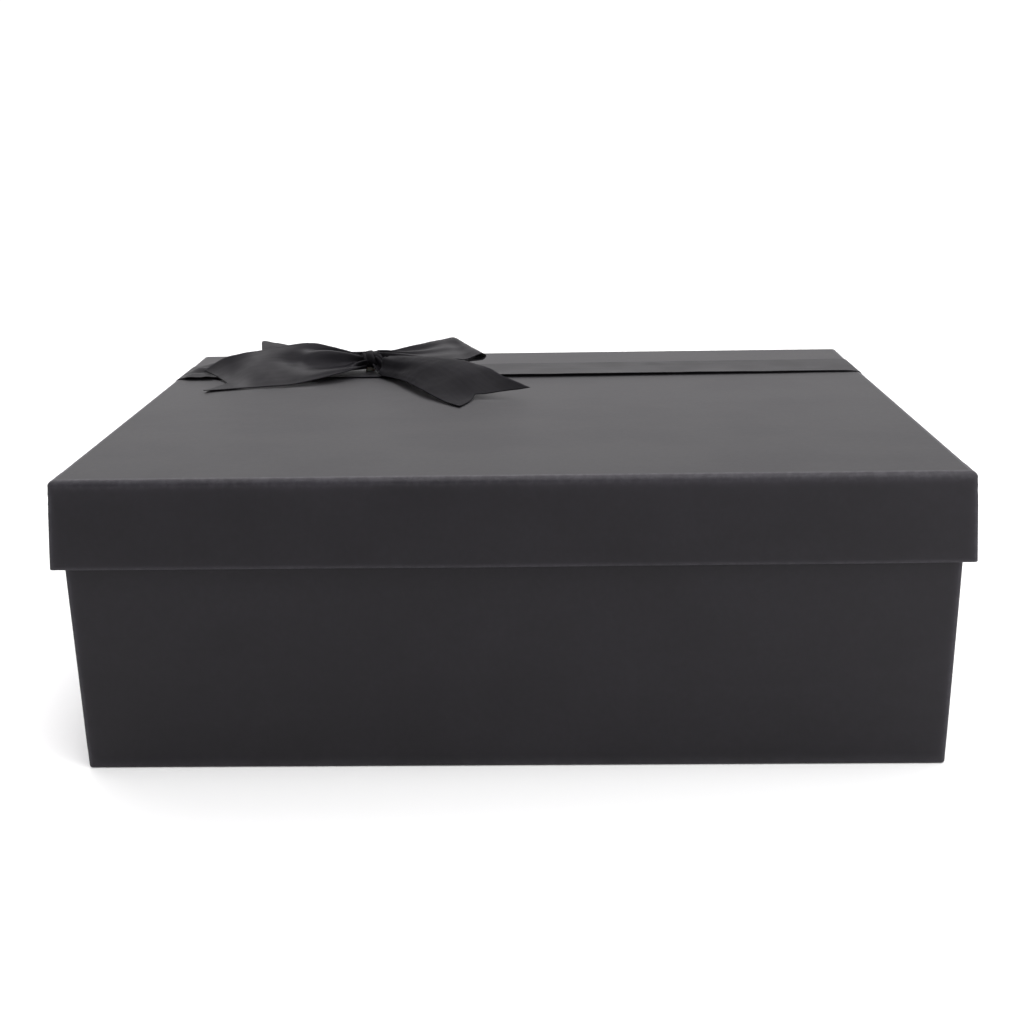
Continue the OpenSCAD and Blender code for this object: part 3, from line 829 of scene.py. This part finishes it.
LEFT_LOOP_BACK = [(-79, 80, 9.8), (-92, 84, 9.6), (-106, 88, 10.4), (-118, 90, 11.4), (-130, 91.5, 13.3),
                  (-137, 91.8, 13.6), (-136.8, 91.6, 10.6), (-126, 90, 6.2), (-110, 87.5, 3.4),
                  (-93, 83.5, 2.1), (-79, 79.5, 2.6)]
LEFT_LOOP_FRONT = [(-79, 75, 6.4), (-92, 66, 5.4), (-104, 60, 4.8), (-116, 59, 5.4), (-126, 60, 6.0),
                   (-131, 61.2, 5.4), (-130.6, 61.4, 3.6), (-120, 59.5, 2.2), (-106, 60, 2.0),
                   (-92, 66, 1.9), (-79, 75, 2.4)]
RIGHT_LOOP_BACK = [(-73, 80, 9.0), (-60, 84, 11.2), (-47, 88, 13.4), (-39, 89.5, 14.6), (-35, 90, 15.3),
                   (-33.4, 90, 15.2), (-31, 90, 14), (-29.6, 89.8, 12), (-31, 89, 10), (-36, 88, 8),
                   (-46, 86.5, 5.4), (-60, 84, 3.2), (-73, 80, 3.6)]
RIGHT_LOOP_FRONT = [(-73, 75, 8.0), (-60, 68, 8.2), (-46, 62.5, 8.0), (-31, 63.5, 9.0), (-25, 65.5, 9.2),
                    (-20.5, 67, 10.4), (-17.4, 67.5, 10.9), (-15.7, 67.5, 9.6), (-16.6, 67, 8.2),
                    (-24, 66, 8.0), (-44, 60, 5.2), (-60, 64, 3.2), (-73, 75, 3.0)]


def same_count(back, front):
    """Pairs two edge curves that were given with different numbers of points."""
    n = max(len(back), len(front))

    def even(line):
        """The same curve through n points."""
        line = np.array(line, float)
        knots = np.linspace(0, 1, len(line))
        return interpolate(line, knots, np.linspace(0, 1, n))

    return even(back), even(front)


def make_bow():
    """The two loops and two tails."""
    ribbon_piece("bow_left_loop_satin",
                 strip(*same_count(LEFT_LOOP_BACK, LEFT_LOOP_FRONT), loop_offset, -1),
                 "bow_left_loop")
    ribbon_piece("bow_left_tail_satin",
                 strip(LEFT_TAIL_BACK, LEFT_TAIL_FRONT, left_tail_offset, -1, notch=12, notch_at=0.62),
                 "bow_left_tail")
    ribbon_piece("bow_right_loop_satin",
                 strip(*same_count(RIGHT_LOOP_BACK, RIGHT_LOOP_FRONT), loop_offset, 1),
                 "bow_right_loop")
    # this tail gets the less glossy copy of the satin, a painted shade
    ribbon_piece("bow_right_tail_satin",
                 strip(RIGHT_TAIL_BACK, RIGHT_TAIL_FRONT, right_tail_offset, 1, notch=14),
                 "bow_right_tail",
                 cloth=LESS_GLOSSY_SATIN)


def make_knot():
    """The turn of ribbon round the middle: its width is gathered into folds that overlap like shingles."""
    low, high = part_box("bow_knot")
    centre = (low + high) / 2
    around, across = 72, 110
    half_width, overlap, radius, fold_high = 6.2, 2.1, 4.3, 0.95
    aside, squash, raised = 0.3, 0.84, 0.55
    points, coords = [], []
    for i in range(around):
        turn = 2 * math.pi * i / around
        for j in range(across + 1):
            s = j / across
            phase = 6 * math.pi * s + 0.7 * math.sin(turn + 0.6)
            x = half_width * (2 * s - 1) + overlap * math.sin(phase)
            pinch = 1 - 0.13 * (2 * s - 1) ** 2
            r = (radius + fold_high * math.sin(phase + 0.5) + 0.22 * math.sin(2 * turn + 5 * s)) * pinch
            x += 2.1 * math.sin(turn - 0.9) * (0.4 + 0.9 * s)
            points.append((centre.x + MM * (x + aside), centre.y - MM * r * math.sin(turn),
                           centre.z + MM * (squash * r * math.cos(turn) + raised)))
            coords.append((RIBBON_W * 0.97 * i / around, RIBBON_W * s))
    n = across + 1
    faces = [(i * n + j, i * n + j + 1, ((i + 1) % around) * n + j + 1, ((i + 1) % around) * n + j)
             for i in range(around) for j in range(across)]
    return points, faces, coords


def make_glue():
    """The drop of hot glue squeezed out flat between the band and the knot."""
    low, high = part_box("bow_glue_dot")
    centre = (low + high) / 2
    radius, aside_x, aside_y = 0.0024, 0.0014, 0.0001
    top = high.z + 0.0008
    rings, spokes = 9, 40
    points = [(centre.x - aside_x, centre.y + aside_y, top)]
    for i in range(1, rings + 1):
        reach = i / rings
        for j in range(spokes):
            turn = 2 * math.pi * j / spokes
            edge = radius * (1 + 0.10 * math.sin(2 * turn + 1) + 0.06 * math.sin(5 * turn))
            height = math.sqrt(max(0.0, 1 - reach**4))
            points.append((centre.x - aside_x + edge * reach * math.cos(turn),
                           centre.y + aside_y + edge * reach * math.sin(turn),
                           low.z + (top - low.z) * height * (1 - 0.15 * reach * math.sin(turn))))
    faces = [(0, 1 + j, 1 + (j + 1) % spokes) for j in range(spokes)]
    for i in range(rings - 1):
        first, second = 1 + i * spokes, 1 + (i + 1) * spokes
        faces += [(first + j, second + j, second + (j + 1) % spokes, first + (j + 1) % spokes)
                  for j in range(spokes)]
    last = 1 + (rings - 1) * spokes
    faces.append(tuple(last + j for j in range(spokes))[::-1])
    drop = new_piece("glue_drop", points, faces, GLUE)
    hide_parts("bow_glue_dot")
    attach(drop, "lid")


BAND_END = 0.020  # each end goes this far up inside the skirt
BAND_CLEAR = 0.0002
BAND_INSIDE = 0.00035
BAND_EDGE_R = 0.0028
TOP_WIDTH = 355


def band_wall(z, inside=False):
    """Distance from the middle of the lid to the band at height z, outside or inside the skirt."""
    return LID_HALF[0] + lean_at(z) + (-(WALL_T + BAND_INSIDE) if inside else BAND_CLEAR)


def band_path():
    """The band in section, as (x, z, side). side is -1 or 1 on the skirts and 0 over the top."""
    end_high = SKIRT_LOW + BAND_END
    path = []
    for step in range(8):
        z = end_high + (SKIRT_LOW - end_high) * step / 8
        path.append((-band_wall(z, True), z, -1))
    fold = band_wall(SKIRT_LOW) - band_wall(SKIRT_LOW, True)
    for step in range(1, 8):
        angle = math.pi * step / 8
        path.append((-(band_wall(SKIRT_LOW, True) + fold / 2 * (1 - math.cos(angle))),
                     SKIRT_LOW - 0.00025 * math.sin(angle), -1))
    for step in range(20):
        z = SKIRT_LOW + (LID_TOP - BAND_EDGE_R - SKIRT_LOW) * step / 19
        path.append((-band_wall(z), z, -1))
    inner = band_wall(LID_TOP) - BAND_EDGE_R
    for step in range(1, 9):
        angle = math.pi / 2 * step / 9
        path.append((-(inner + BAND_EDGE_R * math.cos(angle)),
                     LID_TOP - BAND_EDGE_R + (BAND_EDGE_R + BAND_CLEAR) * math.sin(angle), 0))
    count = 236
    top = [(-inner + 2 * inner * i / count, LID_TOP + BAND_CLEAR, 0) for i in range(count + 1)]
    return path + top + [(-x, z, -side) for x, z, side in path[::-1]]


def crumpled(x):
    """1 near the band's left end on the lid, where the tail that lies on it pulls creases into it."""
    return math.exp(-((x + 165) / 11) ** 2)


def band_lift(x, share):
    """How far the band stands off the lid's top in mm, at x mm from its middle and that share across."""
    # it is held at the two edges and under the bow, and floats a little between them
    arch = math.sin(math.pi * min(1, max(0, (x + TOP_WIDTH / 2) / TOP_WIDTH))) ** 0.5
    under_bow = math.exp(-((x + 80) / 42) ** 4)
    lift = (0.25 + 0.95 * arch) * (0.35 + 0.65 * share**3) * (1 - 0.7 * under_bow)
    lift += 0.35 * math.exp(-((x + 72) / 26) ** 2) * float(smooth_step(share, 0.55, 1.0))
    slant = 2 * math.pi * (2.3 * share + 0.022 * x)
    lift += crumpled(x) * (1.0 + 1.4 * math.sin(slant) * math.sin(math.pi * share)
                           + 0.9 * noise.noise(Vector((x / 6, share * 4, 8.8))))
    lift += 0.12 * noise.noise(Vector((x / 14, share * 2, 3.3)))
    return lift + 0.5 * math.exp(-((x - 72) / 5) ** 2) * math.exp(-((share - 0.1) / 0.12) ** 2)


def make_band():
    """The band: up inside the skirt, round its lower edge, over the lid, and the same on the other side."""
    low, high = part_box("ribbon_band")
    middle_y = (low.y + high.y) / 2
    path = band_path()
    line = np.array([(x, z) for x, z, _ in path])
    lengths = np.concatenate([[0.0], np.cumsum(np.linalg.norm(np.diff(line, axis=0), axis=1))])
    inner = band_wall(LID_TOP) - BAND_EDGE_R
    columns = 28
    points, coords = [], []
    for (x, z, side), length in zip(path, lengths):
        on_top = float(1 - smooth_step(abs(x), inner - 0.006, inner + 0.001))
        mm_x = x / MM
        wander = 0.25 * math.sin(mm_x / 31) + 0.3 * noise.noise(Vector((mm_x / 22, z * 40, 7.7)))
        for j in range(columns + 1):
            share = j / columns
            y = middle_y + RIBBON_W * (0.5 - share)
            pulled = 3.6 * math.cos(math.pi * mm_x / TOP_WIDTH) + 3.2 * crumpled(mm_x) * (share - 0.5)
            out = 0.0
            if side and abs(x) > band_wall(z) - 0.0004:
                out = side * (0.12 + 0.12 * noise.noise(Vector((z / MM / 9, share * 2.2, 5.0 + side))))
            points.append((x + MM * out, y + MM * (wander - on_top * pulled),
                           z + MM * on_top * band_lift(mm_x, share)))
            coords.append((length, RIBBON_W * share))
    return (points, strip_faces(len(path), columns), coords), float(lengths[-1])


band, band_length = make_band()
ribbon_piece("ribbon_band_satin", band, "ribbon_band",
             flip=True)
make_bow()
make_glue()
ribbon_piece("bow_knot_satin", make_knot(), "bow_knot")

# ------------------------------------------------------------------ finishes of the CAD nodes

FINISHES = {"greyboard": BOARD, "kraft_tape": KRAFT, "lining_paper": LINING, "cloth_tape": TAPE,
            "hot_melt_glue": GLUE, "cover_paper": COVER, "satin_ribbon": SATIN}
for part in frame["record"]["subparts"]:
    node = frame["nodes"][part["node"]]
    node.data.materials.clear()
    node.data.materials.append(FINISHES[part["material_slot"]])
